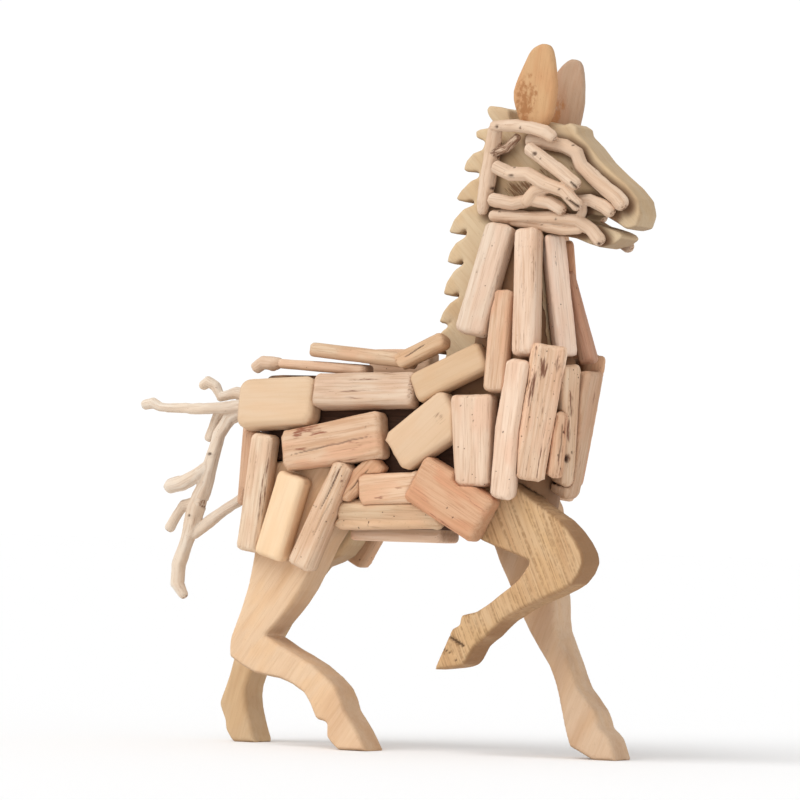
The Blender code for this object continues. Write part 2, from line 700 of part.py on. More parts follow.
def inner_body(planks):
    """The dark carcass behind the cladding, with slots for the boards and seats for some blocks."""
    body = built("inner_body", barrel(), DARK)
    front = built("trunk", trunk(), DARK)
    seats = [plank.seat() for plank in planks]
    seats += [block_seat(block) for block in BLOCKS if block.seated]
    boolean(body, "UNION", [front])
    boolean(body, "DIFFERENCE", seats)
    removed([front] + seats)
    return body


def clear_scene():
    for obj in list(bpy.data.objects):
        bpy.data.objects.remove(obj)


def stand_on_origin(objects):
    """Moves everything so that the origin is on the floor, under the middle of the box."""
    corners = np.array([vertex.co for obj in objects for vertex in obj.data.vertices])
    low, high = corners.min(axis=0), corners.max(axis=0)
    shift = np.array(((low[0] + high[0]) / 2, (low[1] + high[1]) / 2, low[2]))
    for obj in objects:
        for vertex in obj.data.vertices:
            vertex.co = np.array(vertex.co) - shift


def main():
    clear_scene()
    planks = [
        head_and_mane_board(), right_hind_leg(), left_hind_leg(), right_front_leg(), left_front_leg(),
    ]
    objects = [plank.piece() for plank in planks]
    objects.append(inner_body(planks))
    objects += [ear("right_ear", 0, 0, False), ear("left_ear", 2, 9, True)]
    objects += cladding(planks)
    objects += right_face_twigs() + left_face_twigs()
    objects += [tail(), rump_twig()]
    stand_on_origin(objects)


main()
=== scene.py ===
"""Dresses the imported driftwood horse.

Every solid of the frame is copied, remeshed fine and worn by sculpt-like moves of its points: squarer
corners, chipped edges, waves and grooves along the grain, cracks, knots and pits. Each piece then gets
its own procedural wood. The studio is a plain pale floor under soft light, seen by the photograph's
camera.
"""

import logging
import math
from dataclasses import dataclass, replace
from enum import Enum, IntEnum

import bpy
import numpy as np
from mathutils import Matrix, Vector

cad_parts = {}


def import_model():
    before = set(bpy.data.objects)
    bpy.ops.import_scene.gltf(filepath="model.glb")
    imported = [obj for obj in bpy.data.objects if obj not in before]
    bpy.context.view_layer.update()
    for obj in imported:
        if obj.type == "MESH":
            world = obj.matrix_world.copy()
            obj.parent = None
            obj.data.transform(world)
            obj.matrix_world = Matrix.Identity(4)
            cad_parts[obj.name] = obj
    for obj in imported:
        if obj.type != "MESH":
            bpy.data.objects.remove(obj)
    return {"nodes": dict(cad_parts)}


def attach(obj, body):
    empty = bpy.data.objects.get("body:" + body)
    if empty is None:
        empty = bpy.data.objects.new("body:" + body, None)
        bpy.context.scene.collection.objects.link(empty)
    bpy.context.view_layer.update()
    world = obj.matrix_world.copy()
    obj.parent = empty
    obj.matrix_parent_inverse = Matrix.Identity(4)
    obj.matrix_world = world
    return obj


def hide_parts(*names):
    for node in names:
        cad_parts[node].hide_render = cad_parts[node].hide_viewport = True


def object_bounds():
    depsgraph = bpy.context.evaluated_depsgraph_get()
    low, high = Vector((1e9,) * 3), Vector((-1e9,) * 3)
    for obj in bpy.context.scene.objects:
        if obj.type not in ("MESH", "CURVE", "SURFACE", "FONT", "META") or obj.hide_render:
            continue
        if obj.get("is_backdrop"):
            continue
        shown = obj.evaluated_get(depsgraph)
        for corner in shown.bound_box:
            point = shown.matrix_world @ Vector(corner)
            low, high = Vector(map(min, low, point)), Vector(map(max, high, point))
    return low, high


LOG = logging.getLogger("driftwood_horse")

MM = 0.001
BODY = "root"
TONE_GAIN = 0.97

Triple = tuple[float, float, float]
Colour = Triple
Span = tuple[float, float]
Seen = Place = tuple[int, int, int]
Points = np.ndarray
Settings = dict[str, object]
Sockets = dict[int | str, object]


# Noise and falloffs for the sculpt-like moves


def smoothstep(low: float, high: float, value: Points) -> Points:
    """Eases from 0 at low to 1 at high.

    Args:
        low: where the step begins; it may lie above high, for a falling step.
        high: where the step ends.
        value: the numbers to ease.

    Returns:
        Numbers from 0 to 1.
    """
    t = np.clip((value - low) / (high - low), 0, 1)
    return t * t * (3 - 2 * t)


# Numbers that stir the bits of a cell's place, as common integer hashes do
AXIS_STIR = tuple(np.uint32(number) for number in (374761393, 668265263, 2246822519))
SEED_STIR = 3266489917
MIXES = ((13, 1274126177), (15, 2654435761))
LAST_SHIFT = 16
CELL_CORNERS = tuple((i & 1, i >> 1 & 1, i >> 2) for i in range(8))


def lattice(cell: Points, seed: int) -> Points:
    """A fixed random number from -1 to 1 for each whole-numbered cell.

    Args:
        cell: cells as rows of three whole numbers.
        seed: picks one of many such fields.

    Returns:
        One number for each row.
    """
    c = cell.astype(np.int64).astype(np.uint32)
    h = c[:, 0] * AXIS_STIR[0] + c[:, 1] * AXIS_STIR[1] + c[:, 2] * AXIS_STIR[2]
    h += np.uint32(seed * SEED_STIR % 2**32)
    for shift, stir in MIXES:
        h = (h ^ (h >> np.uint32(shift))) * np.uint32(stir)
    return (h ^ (h >> np.uint32(LAST_SHIFT))).astype(np.float64) / 2**31 - 1


def noise(points: Points, seed: int) -> Points:
    """Smooth noise that changes over a distance of about one.

    Args:
        points: places, as rows of three numbers.
        seed: picks one of many such fields.

    Returns:
        One number from -1 to 1 for each row.
    """
    base = np.floor(points)
    t = points - base
    t = t * t * (3 - 2 * t)
    found = np.zeros(len(points))
    for corner in CELL_CORNERS:
        weight = np.prod(np.where(np.array(corner) == 1, t, 1 - t), axis=1)
        found += weight * lattice(base + corner, seed)
    return found


# Shader sums written as Python


class Value:
    """A shader socket that takes part in Python sums."""

    def __init__(self, tree: "Tree", socket: bpy.types.NodeSocket) -> None:
        """Keeps the socket and the tree that it belongs to."""
        self.tree = tree
        self.socket = socket

    def sum(self, operation: str, left: "Value | float", right: "Value | float") -> "Value":
        """The result of one Math node."""
        made = self.tree.node("Math", {"operation": operation}, {0: left, 1: right})
        return Value(self.tree, made.outputs[0])

    def __add__(self, other: "Value | float") -> "Value":
        """This plus another."""
        return self.sum("ADD", self, other)

    def __mul__(self, other: "Value | float") -> "Value":
        """This times another."""
        return self.sum("MULTIPLY", self, other)

    def __sub__(self, other: "Value | float") -> "Value":
        """This less another."""
        return self.sum("SUBTRACT", self, other)

    __radd__ = __add__

    def step(self, low: float, high: float) -> "Value":
        """Eases from 0 at low to 1 at high, or the other way round where low is above high."""
        start, end, flip = (low, high, False) if low < high else (high, low, True)
        limits = {"From Min": start, "From Max": end, "To Min": float(flip), "To Max": float(not flip)}
        found = self.tree.node("MapRange", {"interpolation_type": "SMOOTHSTEP"}, {"Value": self, **limits})
        return Value(self.tree, found.outputs["Result"])


class Tree:
    """The node tree of one material."""

    MIX_COLOURS = (6, 7)
    MIX_RESULT = 2

    def __init__(self, name: str) -> None:
        """Makes the material with a bare Principled shader."""
        self.material = bpy.data.materials.new(name)
        self.material.use_nodes = True
        self.nodes = self.material.node_tree.nodes
        self.shader = self.nodes["Principled BSDF"]

    def node(self, kind: str, settings: Settings, sockets: Sockets) -> bpy.types.Node:
        """Adds a node.

        Args:
            kind: the node's type, without its Shader prefix, such as TexNoise.
            settings: properties to set before its sockets.
            sockets: a Value to link or a number to set, by the socket's name or place.

        Returns:
            The node.
        """
        made = self.nodes.new("ShaderNode" + kind)
        for key, value in settings.items():
            setattr(made, key, value)
        for key, value in sockets.items():
            self.feed(made.inputs[key], value)
        return made

    def feed(self, socket: bpy.types.NodeSocket, value: object) -> None:
        """Links a Value to a socket, or sets the socket to a number or a vector."""
        if isinstance(value, Value):
            self.material.node_tree.links.new(value.socket, socket)
        else:
            socket.default_value = value

    def set(self, name: str, value: object) -> None:
        """Feeds a socket of the shader."""
        self.feed(self.shader.inputs[name], value)

    def attribute(self, name: str) -> Value:
        """A vector that is stored on the mesh."""
        return Value(self, self.node("Attribute", {"attribute_name": name}, {}).outputs["Vector"])

    def parts(self, vector: Value) -> list[Value]:
        """The three numbers of a vector."""
        split = self.node("SeparateXYZ", {}, {0: vector})
        return [Value(self, socket) for socket in split.outputs]

    def stretched(self, vector: Value, scale: Triple, shift: Triple) -> Value:
        """A vector times a scale for each of its numbers, moved by a shift."""
        sockets = {0: vector, 1: scale, 2: shift}
        return Value(self, self.node("VectorMath", {"operation": "MULTIPLY_ADD"}, sockets).outputs[0])

    def cloud(self, vector: Value, detail: float, roughness: float) -> Value:
        """Noise from 0 to 1 over a vector."""
        sockets = {"Vector": vector, "Scale": 1.0, "Detail": detail, "Roughness": roughness}
        return Value(self, self.node("TexNoise", {}, sockets).outputs[0])

    def cells(self, vector: Value) -> Value:
        """The distance to the nearest of many scattered points."""
        return Value(self, self.node("TexVoronoi", {}, {"Vector": vector, "Scale": 1.0}).outputs["Distance"])

    def mix(self, factor: Value, first: "Value | Colour", second: "Value | Colour") -> Value:
        """A colour that goes from the first to the second as the factor goes from 0 to 1."""
        colours = [c if isinstance(c, Value) else (*c, 1.0) for c in (first, second)]
        sockets = {0: factor, **dict(zip(self.MIX_COLOURS, colours))}
        return Value(self, self.node("Mix", {"data_type": "RGBA"}, sockets).outputs[self.MIX_RESULT])

    def raised(self, height: Value, distance: float, strength: float) -> Value:
        """The normal of a bumped surface."""
        sockets = {"Height": height, "Distance": distance, "Strength": strength}
        return Value(self, self.node("Bump", {}, sockets).outputs["Normal"])


def shade(red: int, green: int, blue: int) -> Colour:
    """A screen colour, each part from 0 to 255, as the linear colour that a shader takes."""
    parts = (red / 255, green / 255, blue / 255)
    return tuple(((part + 0.055) / 1.055) ** 2.4 if part > 0.04045 else part / 12.92 for part in parts)


def tone(red: int, green: int, blue: int) -> Colour:
    """A wood's lighter colour from a tone seen on it."""
    return tuple(min(1.0, part * TONE_GAIN) for part in shade(red, green, blue))


# Finishes


@dataclass(frozen=True)
class Pattern:
    """A cloudy pattern: its turns to a metre along, across and out of the grain, and where it shows."""

    scale: Triple
    edge: Span = (0.0, 1.0)
    detail: float = 2.0
    roughness: float = 0.5
    turned: bool = False


BROAD = Pattern((9, 38, 38), (0.40, 0.70), 3)
STREAK = Pattern((16, 340, 340), (0.38, 0.72), 3, 0.6)
FIBRE = Pattern((45, 900, 900), detail=3, roughness=0.7)
FLUSH = Pattern((22, 60, 60), (0.42, 0.64), turned=True)
VEIN = Pattern((24, 800, 800), (0.56, 0.66), roughness=0.6, turned=True)
SAW_ROW = Pattern((9, 520, 60), (0.44, 0.62), 1)
SAW_DASH = Pattern((230, 240, 60), (0.28, 0.62))
SAW_PATCH = Pattern((14, 18, 18), (0.30, 0.56))
SPECK = Pattern((260, 520, 520), (0.66, 0.76), roughness=0.6)
HOLE_SCALE = (105, 125, 125)
HOLE_RIM = 0.03
STAIN_EDGE = (0.58, 0.84)
BUMP = 0.6 * MM
SPECULAR = 0.25


@dataclass(frozen=True)
class Grain:
    """The grain of one piece, moved so that no two pieces look the same."""

    tree: Tree
    place: Value
    shift: Triple

    def cloud(self, pattern: Pattern) -> Value:
        """A pattern's bare noise."""
        shift = self.shift[::-1] if pattern.turned else self.shift
        place = self.tree.stretched(self.place, pattern.scale, shift)
        return self.tree.cloud(place, pattern.detail, pattern.roughness)

    def shown(self, pattern: Pattern) -> Value:
        """How much of a pattern shows, from 0 to 1."""
        return self.cloud(pattern).step(*pattern.edge)


@dataclass(frozen=True)
class Wood:
    """A kind of wood: how strongly each kind of mark shows in it."""

    slot: str
    streak: float = 0.5
    blotch: float = 0.4
    fibre: float = 0.4
    holes: float = 0.0
    specks: float = 0.3
    lines: float = 0.0
    veins: float = 0.4
    roughness: float = 0.78
    relief: float = 0.5
    depth: Colour = (0.80, 0.68, 0.59)
    blush: Colour = (0.97, 0.87, 0.83)
    patch: Triple = (70, 560, 560)
    # side: the colour laid on through the third mark channel: painted shade on blocks, boards and twigs, and
    # the paler patches of the carcass.
    side: Colour = shade(168, 132, 102)
    stain: Colour = shade(120, 78, 56)
    # cut: painted shade in cracks, pits and holes, and the dark heart of knots.
    cut: Colour = shade(62, 38, 24)

    def material(self, name: str, tone: Colour, seed: int) -> bpy.types.Material:
        """Makes the wood of one piece.

        Args:
            name: the material's name.
            tone: the wood's lighter colour.
            seed: moves the pattern, so that no two pieces look the same.

        Returns:
            The material.
        """
        tree = Tree(name)
        shift = (seed * 1.37 % 17, seed * 2.11 % 23, seed * 0.73 % 13)
        grain = Grain(tree, tree.attribute("grain"), shift)
        # Mark channels: cut is painted shade in cracks and pits and the dark heart of knots; stain is real
        # stains with painted shade in grooves; side is painted shade (on the carcass, its paler patches).
        cut, stain, side = tree.parts(tree.attribute("marks"))
        deep = tuple(part * share for part, share in zip(tone, self.depth))
        pink = tuple(part * share for part, share in zip(tone, self.blush))
        streaks, fibres, veins = grain.cloud(STREAK), grain.cloud(FIBRE), grain.shown(VEIN)
        amount = streaks.step(*STREAK.edge) * self.streak + grain.shown(BROAD) * self.blotch
        ground = tree.mix(grain.shown(FLUSH), tone, pink)
        colour = tree.mix(amount + (fibres - 0.5) * self.fibre, ground, deep)
        colour = tree.mix(veins * self.veins, colour, deep)
        colour = tree.mix(veins * (self.veins * 0.3), colour, self.stain)
        height = fibres * 0.5 + streaks * 0.5 - veins * 0.5
        if self.lines:
            sawn = grain.shown(SAW_ROW) * grain.shown(SAW_DASH) * grain.shown(SAW_PATCH) * self.lines
            colour = tree.mix(sawn, colour, self.stain)
            height = height - sawn
        # Painted shade in the side colour (on the carcass, a paler colour).
        colour = tree.mix(side, colour, self.side)
        soft = grain.cloud(Pattern(self.patch, detail=3, roughness=0.65))
        stained = (soft + stain * 0.3).step(*STAIN_EDGE) * stain.step(0.0, 0.4) * 0.9
        colour = tree.mix(stained, colour, self.stain)
        colour = tree.mix(grain.shown(SPECK) * self.specks, colour, self.stain)
        # Holes get painted shade in the cut colour, with a bump but no carved depth.
        if self.holes:
            nearest = tree.cells(tree.stretched(grain.place, HOLE_SCALE, shift))
            spots = nearest.step(self.holes + HOLE_RIM, self.holes)
            colour = tree.mix(spots * 0.8, colour, self.cut)
            height = height - spots
        # Painted shade in cracks and pits, and the dark heart of knots.
        colour = tree.mix(cut, colour, self.cut)
        tree.set("Base Color", colour)
        tree.set("Roughness", self.roughness + (streaks - 0.5) * 0.2)
        tree.set("Normal", tree.raised(height, BUMP, self.relief))
        tree.set("Specular IOR Level", SPECULAR)
        return tree.material


SMOOTH = Wood("pale_wood", streak=0.3, fibre=0.25, specks=0.1, relief=0.2, veins=0.08,
              depth=(0.9, 0.83, 0.74), blush=(1, 0.96, 0.92))
PALE = Wood("pale_wood", fibre=0.55, holes=0.055)
WARM = Wood("warm_wood", fibre=0.55, stain=shade(138, 80, 58), streak=0.7, blush=(0.98, 0.82, 0.76))
PINK = Wood("pinkish_wood", fibre=0.6, streak=0.65, specks=0.4)
STAINED = Wood("pinkish_wood", fibre=0.6, stain=shade(112, 66, 46), streak=0.75, specks=0.7, holes=0.06)
BOARD = Wood("sawn_board", stain=shade(150, 112, 76), side=shade(146, 112, 84), streak=0.25,
             blotch=0.5, specks=0.2, veins=0.12, blush=(1, 0.95, 0.88))
# The head board's side colour is its painted shade round the twigs, on its front edge and underside.
HEAD = replace(BOARD, stain=shade(132, 96, 68), side=shade(116, 86, 62))
SAWN = Wood("sawn_board", stain=shade(140, 106, 68), side=shade(146, 108, 74), streak=0.5, blotch=0.5,
            specks=0.4, lines=0.6, veins=0.2, blush=(1, 0.95, 0.86))
TWIG = Wood("peeled_twig", stain=shade(122, 84, 60), side=shade(112, 80, 58), streak=0.5,
            specks=0.4, relief=0.3, blush=(0.99, 0.94, 0.89))
EAR = Wood("ear_wood", stain=shade(166, 114, 72), streak=0.25, blotch=0.6, specks=0.5, veins=0.15,
           patch=(170, 230, 230))
CORE = Wood("dark_carcass", stain=shade(24, 15, 10), cut=shade(20, 12, 8), depth=(0.5, 0.45, 0.4),
            side=shade(138, 104, 76))


# Sculpt-like moves


class Facing(Enum):
    """The side of the horse that a block's outer face looks to."""

    RIGHT = (0, -1, 0)
    LEFT = (0, 1, 0)
    TOP = (0, 0, 1)
    UNDER = (0, 0, -1)
    FRONT = (1, 0, 0)
    FRONT_RIGHT = (0.7, -0.7, 0)
    FRONT_LEFT = (0.7, 0.7, 0)
    REAR = (-0.9, -0.4, 0)


class Surface(Enum):
    """How worn a piece is: the depth of its waves and of its grooves in mm, and the passes that ease it."""

    SANDED = (0.35, 0.0, 6)
    PLAIN = (0.4, 0.2, 4)
    WORN = (0.55, 0.4, 3)
    SPLIT = (0.65, 0.8, 2)


@dataclass(frozen=True)
class Spot:
    """A place on a piece's outer face, in its plan's units, with its half size and depth in mm.

    A stain's depth is its strength, from 0 to 1.
    """

    along: float
    across: float
    long: float
    wide: float
    depth: float = 1.0


@dataclass(frozen=True)
class Crack:
    """A split between two places in the plan's units: its width and depth in mm, and the darkness of the
    shade painted in it.
    """

    start: Span
    end: Span
    width: float = 1.3
    depth: float = 1.5
    dark: float = 0.9


class Field(IntEnum):
    """The fields of noise that a carving draws on."""

    WAVE = 1
    RIDGE = 2
    PATCH = 3
    WANDER = 4
    RIM = 5
    END = 6
    CHIP = 8


class Carving:
    """Moves the points of one fine mesh as a carver would, in the piece's own axes.

    Its plan is where spots and cracks are placed: shares of the half length and half width of a piece
    whose axes are found, and mm forward and up from the origin where the axes are given.
    """

    SEED_STEP = 7
    FACE_CUTS = (0.6, 0.93)
    STEEP = 0.66
    SHARP = (0.06, 0.22)
    CRACK_WANDER = 0.7 * MM
    LEAST_TAPER = 0.05
    RAGGED = 0.3
    KNOT_RING = 2.2

    def __init__(self, obj: bpy.types.Object, seed: int, facing: Facing = Facing.RIGHT,
                 axes: Points | None = None) -> None:
        """Reads the mesh.

        Args:
            obj: the fine mesh.
            seed: picks this piece's noise.
            facing: the side that the outer face looks to, to find the axes from the shape.
            axes: rows along the grain, across it and outward, where they aren't to be found.
        """
        self.mesh = obj.data
        self.seed = seed
        self.places, self.normals = self.read("co"), self.read("normal")
        self.axes = self.found_axes(facing) if axes is None else axes
        turned = self.places @ self.axes.T
        self.half = (turned.max(0) - turned.min(0)) / 2
        self.local = turned - (turned.min(0) + turned.max(0)) / 2
        self.facing = self.normals @ self.axes.T
        self.plan = self.local[:, :2] if axes is None else self.places[:, (0, 2)]
        self.unit = self.half[:2] if axes is None else np.array((MM, MM))
        # side is the share of the side colour: painted shade, or on the carcass its paler patches.
        self.push, self.cut, self.stain, self.side = np.zeros((4, len(self.places)))

    def read(self, name: str) -> Points:
        """One vector for each point of the mesh."""
        found = np.empty(len(self.mesh.vertices) * 3, np.float32)
        self.mesh.vertices.foreach_get(name, found)
        return found.reshape(-1, 3).astype(float)

    def found_axes(self, facing: Facing) -> Points:
        """The axes of a long piece with one flat outer face.

        Args:
            facing: the side that the outer face looks to.

        Returns:
            Unit rows: along the grain (up, or forward where it lies flat), across it and outward.
        """
        outward = np.array(facing.value, float)
        outward /= np.linalg.norm(outward)
        for least in self.FACE_CUTS:
            outward = self.normals[self.normals @ outward > least].mean(0)
            outward /= np.linalg.norm(outward)
        spread = self.places - self.places.mean(0)
        spread = spread - np.outer(spread @ outward, outward)
        along = np.linalg.eigh(spread.T @ spread)[1][:, 2]
        lead = along[2] if abs(along[2]) > self.STEEP else along[0]
        along = along * (1 if lead > 0 else -1)
        return np.array((along, np.cross(along, outward), outward))

    def noise(self, long: float, wide: float, field: Field) -> Points:
        """Noise over the piece that changes over long mm along the grain and wide mm across it."""
        return noise(self.local / (np.array((long, wide, wide)) * MM), self.seed * self.SEED_STEP + field)

    def wave(self, depth: float, long: float = 34.0, wide: float = 15.0) -> None:
        """Lets the surface rise and fall softly by about a depth in mm."""
        self.push += self.noise(long, wide, Field.WAVE) * depth * MM

    def groove(self, depth: float, pitch: float = 3.4) -> None:
        """Wears grooves along the grain, to a depth and at a pitch in mm, but not into the ends."""
        ridge = 1 - np.abs(self.noise(pitch * 16, pitch, Field.RIDGE))
        patch = smoothstep(-0.5, 0.5, self.noise(26, 12, Field.PATCH))
        side = smoothstep(0.8, 0.4, np.abs(self.facing[:, 0]))
        cut = smoothstep(0.72, 1.0, ridge) * patch * side
        self.push -= cut * depth * MM
        # The grooves also darken with the stain colour: painted shade in them.
        self.stain = np.maximum(self.stain, cut * min(depth, 0.6))

    def split(self, crack: Crack) -> None:
        """Opens a crack on the outer face, with painted shade in it."""
        start = np.array(crack.start) * self.unit
        end = np.array(crack.end) * self.unit
        run = end - start
        length = np.linalg.norm(run)
        run = run / length
        offset = self.plan - start
        along = offset @ run
        across = offset @ np.array((-run[1], run[0])) + self.noise(11, 40, Field.WANDER) * self.CRACK_WANDER
        taper = np.sqrt(np.clip(along / length * 4 * (1 - along / length), 0, 1))
        width = crack.width * MM * np.maximum(taper, self.LEAST_TAPER)
        near = smoothstep(1.0, 0.2, np.abs(across) / width)
        cut = near * (taper > 0) * (self.facing[:, 2] > 0.3)
        self.push -= cut * crack.depth * MM
        self.cut = np.maximum(self.cut, cut * crack.dark)

    def reach(self, spot: Spot) -> Points:
        """How far into a spot each point lies, from 0 at its rim and beyond to 1 at its middle."""
        away = (self.plan - np.array((spot.along, spot.across)) * self.unit) / MM
        away = away / np.array((spot.long, spot.wide))
        ragged = 1 + self.noise(6, 4, Field.RIM) * self.RAGGED
        return smoothstep(1.0, 0.35, np.linalg.norm(away, axis=1) * ragged) * (self.facing[:, 2] > 0.2)

    def pit(self, spot: Spot) -> None:
        """Sinks a hole into the outer face, with painted shade in it."""
        deep = self.reach(spot)
        self.push -= deep * spot.depth * MM
        self.cut = np.maximum(self.cut, deep)

    def knot(self, spot: Spot) -> None:
        """Raises a low ring with a dark sunken heart."""
        wide = self.reach(replace(spot, long=spot.long * self.KNOT_RING, wide=spot.wide * self.KNOT_RING))
        heart = self.reach(spot)
        self.push += (wide * 0.9 - heart * 1.3) * MM * min(1.0, spot.wide / 1.5)
        self.stain = np.maximum(self.stain, wide * 0.35)
        self.cut = np.maximum(self.cut, heart * 0.85)

    def mark(self, spot: Spot) -> None:
        """Stains the outer face."""
        self.stain = np.maximum(self.stain, self.reach(spot) * spot.depth)

    def marked(self, cracks: tuple[Crack, ...], pits: tuple[Spot, ...], stains: tuple[Spot, ...]) -> None:
        """Opens cracks, sinks pits and lays stains."""
        for crack in cracks:
            self.split(crack)
        for pit in pits:
            self.pit(pit)
        for stain in stains:
            self.mark(stain)

    def square(self, radius: float, share: float) -> None:
        """Draws the rounded corners of the outer face out towards square ones.

        Args:
            radius: the reach of the rounding from the sides, in metres.
            share: how far the corners go, from 0 to 1.
        """
        flat = self.local[:, :2]
        middle = np.maximum(self.half[:2] - radius, 0)
        inside = np.clip(np.abs(flat) - middle, 0, None)
        least, most = inside.min(1), inside.max(1)
        slant = np.hypot(least, most) / np.maximum(most, 1e-6)
        grown = inside * ((slant - 1) * share * (least > 0))[:, None] * np.sign(flat)
        self.places += grown @ self.axes[:2]
        self.local[:, :2] += grown

    def chip(self, depth: float) -> None:
        """Wears the edges unevenly, to a depth in mm."""
        self.push -= self.sharpness() * smoothstep(-0.2, 0.7, self.noise(9, 6, Field.CHIP)) * depth * MM

    def sharpness(self) -> Points:
        """How sharp an edge each point lies on, from 0 on a flat or hollow place to 1."""
        ends = np.empty(len(self.mesh.edges) * 2, np.int32)
        self.mesh.edges.foreach_get("vertices", ends)
        ends = ends.reshape(-1, 2)
        span = self.places[ends[:, 1]] - self.places[ends[:, 0]]
        span = span / np.linalg.norm(span, axis=1)[:, None]
        total = np.zeros(len(self.places))
        for one, sign in ((0, -1), (1, 1)):
            lean = sign * (span * self.normals[ends[:, one]]).sum(1)
            total += np.bincount(ends[:, one], lean, len(total))
        return smoothstep(*self.SHARP, total / np.bincount(ends.ravel(), minlength=len(total)))

    def finish(self, grain: Points | None = None) -> None:
        """Moves the points and stores the marks and the painted shade for the wood.

        Args:
            grain: the place of each point along and across the grain, where it isn't the piece's own axes.
        """
        moved = self.places + self.normals * self.push[:, None]
        self.mesh.vertices.foreach_set("co", moved.ravel())
        marks = np.stack((self.cut, self.stain, self.side), axis=1)
        for name, values in (("grain", self.local if grain is None else grain), ("marks", marks)):
            stored = self.mesh.attributes.new(name, "FLOAT_VECTOR", "POINT")
            stored.data.foreach_set("vector", values.astype(np.float32).ravel())
        self.mesh.update()


# Pieces


def select_only(obj: bpy.types.Object) -> None:
    """Makes an object the only one selected, and the active one."""
    bpy.ops.object.select_all(action="DESELECT")
    obj.select_set(True)
    bpy.context.view_layer.objects.active = obj


@dataclass
class Workshop:
    """Copies the frame's solids as fine meshes and hands over the finished pieces."""

    nodes: dict[str, bpy.types.Object]
    weld: float = 0.01 * MM

    def fine_copy(self, node: str, spacing: float, passes: int) -> bpy.types.Object:
        """Copies a solid as a fine, even mesh with eased edges.

        Args:
            node: the solid's name.
            spacing: how far apart the points lie, in metres.
            passes: how many smoothing passes ease the edges.

        Returns:
            The copy.
        """
        made = bpy.data.objects.new(node + "_wood", self.nodes[node].data.copy())
        bpy.context.scene.collection.objects.link(made)
        made.data.materials.clear()
        select_only(made)
        bpy.ops.object.mode_set(mode="EDIT")
        bpy.ops.mesh.select_all(action="SELECT")
        bpy.ops.mesh.remove_doubles(threshold=self.weld)
        bpy.ops.mesh.normals_make_consistent(inside=False)
        bpy.ops.object.mode_set(mode="OBJECT")
        even = made.modifiers.new("Even", "REMESH")
        even.mode = "VOXEL"
        even.voxel_size = spacing
        ease = made.modifiers.new("Ease", "SMOOTH")
        ease.factor = 0.5
        ease.iterations = passes
        for name in ("Even", "Ease"):
            bpy.ops.object.modifier_apply(modifier=name)
        return made

    def hand_over(self, piece: bpy.types.Object, node: str, wood: Wood, tone: Colour, seed: int) -> None:
        """Dresses a finished piece and puts it in its node's place.

        Args:
            piece: the finished mesh.
            node: the solid that it stands for.
            wood: its kind of wood.
            tone: the wood's colour.
            seed: moves the wood's pattern.
        """
        select_only(piece)
        bpy.ops.object.shade_smooth()
        piece.data.materials.append(wood.material(node + "_finish", tone, seed))
        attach(piece, BODY)
        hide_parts(node)
        LOG.info("%s: %d faces, %s", piece.name, len(piece.data.polygons), wood.slot)


@dataclass(frozen=True)
class Block:
    """One glued-on block: its wood, the tone seen on it, its wear and its marks.

    It faces as its area does where it names no side. Out is how far its top and its underside are
    let out, in mm.
    """

    node: str
    wood: Wood
    tone: Seen
    surface: Surface = Surface.PLAIN
    facing: Facing | None = None
    cracks: tuple[Crack, ...] = ()
    pits: tuple[Spot, ...] = ()
    stains: tuple[Spot, ...] = ()
    out: Span = (0.0, 0.0)


@dataclass
class Cladding:
    """The blocks of one part of the horse."""

    workshop: Workshop
    name: str
    blocks: tuple[Block, ...]
    seed: int
    spacing: float = 1.2 * MM
    facing: Facing = Facing.RIGHT
    swell: float = 0.3 * MM
    corner: float = 8 * MM
    squareness: float = 0.6
    chips: float = 0.8
    level: Span = (0.4, 0.8)
    end_grain: float = 0.3 * MM

    def build(self) -> None:
        """Carves and dresses each block."""
        for place, block in enumerate(self.blocks):
            self.carve(block, self.seed + place)
        LOG.info("%s: %d blocks", self.name, len(self.blocks))

    def carve(self, block: Block, seed: int) -> None:
        """Carves one block's wear and marks, paints shade on its end faces and on its sides towards the
        carcass, and dresses it.

        Args:
            block: the block.
            seed: picks its noise.
        """
        wave, groove, passes = block.surface.value
        piece = self.workshop.fine_copy(block.node, self.spacing, passes)
        carving = Carving(piece, seed, block.facing or self.facing)
        carving.square(self.corner, self.squareness)
        carving.push += self.swell
        carving.wave(wave)
        if groove:
            carving.groove(groove)
        carving.chip(self.chips)
        carving.marked(block.cracks, block.pits, block.stains)
        for sign, out in zip((1, -1), block.out):
            carving.push += smoothstep(*self.level, sign * carving.normals[:, 2]) * out * MM
        end_face = smoothstep(0.6, 0.85, np.abs(carving.facing[:, 0]))
        carving.push += end_face * carving.noise(5, 5, Field.END) * self.end_grain
        # Painted shade: the block's sides darken towards the carcass, and its end faces darken a little.
        behind = smoothstep(0.0, -0.8, carving.local[:, 2] / carving.half[2])
        carving.side = np.maximum(behind * 0.6, end_face * 0.3)
        carving.finish()
        self.workshop.hand_over(piece, block.node, block.wood, tone(*block.tone), seed)


PLAIN, WORN, SPLIT, SANDED = Surface.PLAIN, Surface.WORN, Surface.SPLIT, Surface.SANDED

